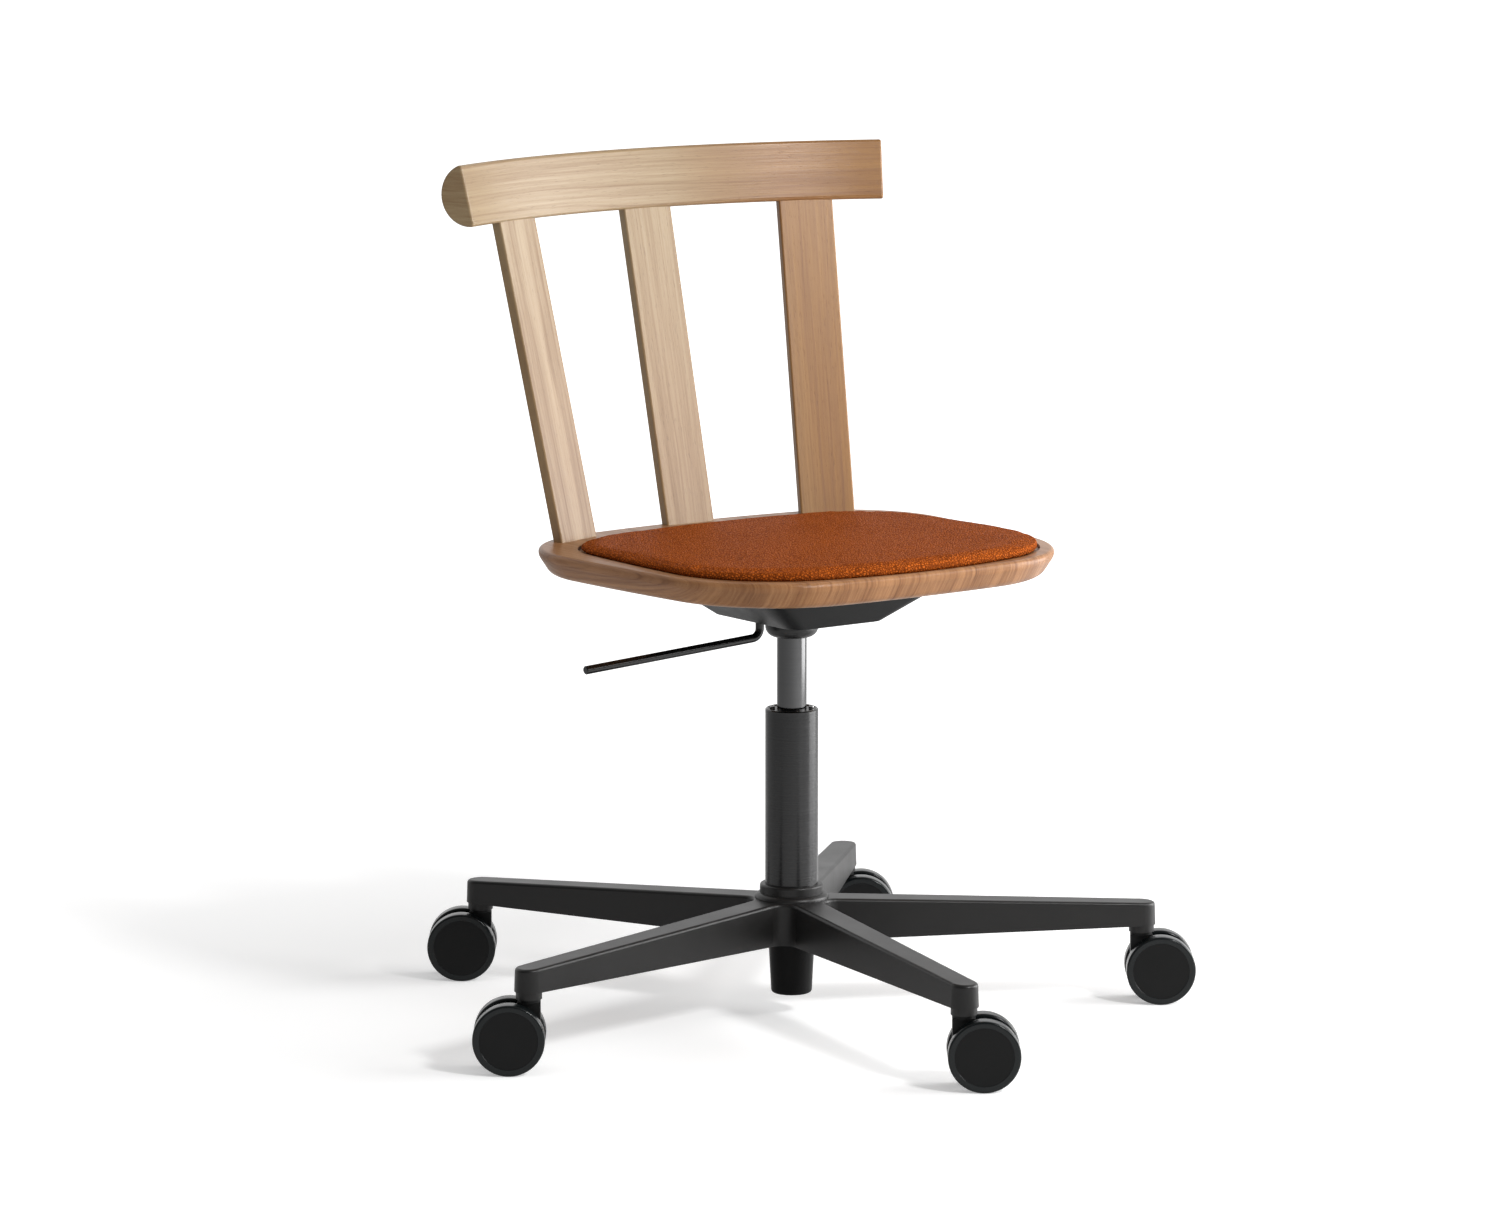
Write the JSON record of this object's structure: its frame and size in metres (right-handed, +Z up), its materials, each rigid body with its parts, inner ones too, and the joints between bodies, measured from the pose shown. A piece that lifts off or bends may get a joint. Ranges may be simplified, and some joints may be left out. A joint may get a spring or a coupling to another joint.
{
  "type": "swivel chair",
  "caption": "Swivel chair with a wooden seat and slatted back, leather pad, gas lift and a castered star base.",
  "frame": {"origin": "on the floor under the column's axis", "axes": "+Z up along the column, -Y the way the sitter faces, +X to the sitter's left"},
  "size_m": [0.7411, 0.7309, 0.8025],
  "materials": {
    "ash_wood": "satin oiled",
    "tan_leather": "semi-matte, fine pebble",
    "charcoal_coat": "powder coated, fine texture",
    "gunmetal_tube": "brushed round, dark",
    "bright_steel": "polished",
    "black_lever": "gloss",
    "black_plastic": "matte",
    "black_rubber": "matte",
    "soft_tread": "soft satin",
    "brass_insert": "plain"
  },
  "bodies": {
    "base": {"star_base": "charcoal_coat", "column_tube": "gunmetal_tube", "guide_bush": "black_plastic", "bush_screws": "bright_steel", "bearing_balls": "bright_steel"},
    "rod": {"piston_rod": "bright_steel", "bearing_washer": "bright_steel", "rod_clip": "bright_steel", "bump_stop": "black_rubber"},
    "seat": {"gas_cylinder": "bright_steel", "rod_seal": "black_rubber", "column_collar": "black_plastic", "mechanism_housing": "charcoal_coat", "seat_screws": "bright_steel", "seat_inserts": "brass_insert", "lever_pivot_pin": "bright_steel", "seat_board": "ash_wood", "seat_pad": "tan_leather", "back_slat_left": "ash_wood", "back_slat_middle": "ash_wood", "back_slat_right": "ash_wood", "crest_rail": "ash_wood"},
    "lever": {"release_lever": "black_lever"},
    "pin": {"release_pin": "bright_steel"},
    "caster_1": {"caster_1_frame": "black_plastic", "caster_1_stem": "bright_steel", "caster_1_axle": "bright_steel"},
    "caster_1_left": {"caster_1_left_wheel": "black_plastic", "caster_1_left_tyre": "soft_tread"},
    "caster_1_right": {"caster_1_right_wheel": "black_plastic", "caster_1_right_tyre": "soft_tread"},
    "caster_2": {"caster_2_frame": "black_plastic", "caster_2_stem": "bright_steel", "caster_2_axle": "bright_steel"},
    "caster_2_left": {"caster_2_left_wheel": "black_plastic", "caster_2_left_tyre": "soft_tread"},
    "caster_2_right": {"caster_2_right_wheel": "black_plastic", "caster_2_right_tyre": "soft_tread"},
    "caster_3": {"caster_3_frame": "black_plastic", "caster_3_stem": "bright_steel", "caster_3_axle": "bright_steel"},
    "caster_3_left": {"caster_3_left_wheel": "black_plastic", "caster_3_left_tyre": "soft_tread"},
    "caster_3_right": {"caster_3_right_wheel": "black_plastic", "caster_3_right_tyre": "soft_tread"},
    "caster_4": {"caster_4_frame": "black_plastic", "caster_4_stem": "bright_steel", "caster_4_axle": "bright_steel"},
    "caster_4_left": {"caster_4_left_wheel": "black_plastic", "caster_4_left_tyre": "soft_tread"},
    "caster_4_right": {"caster_4_right_wheel": "black_plastic", "caster_4_right_tyre": "soft_tread"},
    "caster_5": {"caster_5_frame": "black_plastic", "caster_5_stem": "bright_steel", "caster_5_axle": "bright_steel"},
    "caster_5_left": {"caster_5_left_wheel": "black_plastic", "caster_5_left_tyre": "soft_tread"},
    "caster_5_right": {"caster_5_right_wheel": "black_plastic", "caster_5_right_tyre": "soft_tread"}
  },
  "joints": [
    {"name": "seat_swivel", "type": "hinge", "parent": "base", "child": "rod", "pos_m": [0, 0, 0.031], "axis": [0, 0, 1], "continuous": true},
    {"name": "seat_lift", "type": "slide", "parent": "rod", "child": "seat", "axis": [0, 0, 1], "range_m": [-0.06, 0.05]},
    {"name": "lever_lift", "type": "hinge", "parent": "seat", "child": "lever", "pos_m": [-0.0375, 0, 0.395], "axis": [0, 1, 0], "range_deg": [0, 5], "stiffness_Nm_per_rad": 2, "springref_deg": -2.86},
    {"name": "pin_press", "type": "slide", "parent": "seat", "child": "pin", "axis": [0, 0, -1], "range_m": [0, 0.0036]},
    {"name": "caster_1_swivel", "type": "hinge", "parent": "base", "child": "caster_1", "pos_m": [0.29981, -0.15607, 0.0678], "axis": [0, 0, 1], "continuous": true},
    {"name": "caster_1_left_roll", "type": "hinge", "parent": "caster_1", "child": "caster_1_left", "pos_m": [0.31432, -0.16673, 0.033], "axis": [0.592, 0.8059, 0], "continuous": true},
    {"name": "caster_1_right_roll", "type": "hinge", "parent": "caster_1", "child": "caster_1_right", "pos_m": [0.31432, -0.16673, 0.033], "axis": [0.592, 0.8059, 0], "continuous": true},
    {"name": "caster_2_swivel", "type": "hinge", "parent": "base", "child": "caster_2", "pos_m": [0.24108, 0.23691, 0.0678], "axis": [0, 0, 1], "continuous": true},
    {"name": "caster_2_left_roll", "type": "hinge", "parent": "caster_2", "child": "caster_2_left", "pos_m": [0.25559, 0.22625, 0.033], "axis": [0.592, 0.8059, 0], "continuous": true},
    {"name": "caster_2_right_roll", "type": "hinge", "parent": "caster_2", "child": "caster_2_right", "pos_m": [0.25559, 0.22625, 0.033], "axis": [0.592, 0.8059, 0], "continuous": true},
    {"name": "caster_3_swivel", "type": "hinge", "parent": "base", "child": "caster_3", "pos_m": [-0.15082, 0.30249, 0.0678], "axis": [0, 0, 1], "continuous": true},
    {"name": "caster_3_left_roll", "type": "hinge", "parent": "caster_3", "child": "caster_3_left", "pos_m": [-0.16532, 0.31314, 0.033], "axis": [-0.592, -0.8059, 0], "continuous": true},
    {"name": "caster_3_right_roll", "type": "hinge", "parent": "caster_3", "child": "caster_3_right", "pos_m": [-0.16532, 0.31314, 0.033], "axis": [-0.592, -0.8059, 0], "continuous": true},
    {"name": "caster_4_swivel", "type": "hinge", "parent": "base", "child": "caster_4", "pos_m": [-0.33429, -0.04996, 0.0678], "axis": [0, 0, 1], "continuous": true},
    {"name": "caster_4_left_roll", "type": "hinge", "parent": "caster_4", "child": "caster_4_left", "pos_m": [-0.34879, -0.0393, 0.033], "axis": [-0.592, -0.8059, 0], "continuous": true},
    {"name": "caster_4_right_roll", "type": "hinge", "parent": "caster_4", "child": "caster_4_right", "pos_m": [-0.34879, -0.0393, 0.033], "axis": [-0.592, -0.8059, 0], "continuous": true},
    {"name": "caster_5_swivel", "type": "hinge", "parent": "base", "child": "caster_5", "pos_m": [-0.05579, -0.33337, 0.0678], "axis": [0, 0, 1], "continuous": true},
    {"name": "caster_5_left_roll", "type": "hinge", "parent": "caster_5", "child": "caster_5_left", "pos_m": [-0.04128, -0.34402, 0.033], "axis": [0.592, 0.8059, 0], "continuous": true},
    {"name": "caster_5_right_roll", "type": "hinge", "parent": "caster_5", "child": "caster_5_right", "pos_m": [-0.04128, -0.34402, 0.033], "axis": [0.592, 0.8059, 0], "continuous": true}
  ],
  "couplings": [
    {"joint": "pin_press", "follows": "lever_lift", "m_per_rad": 0.039}
  ]
}
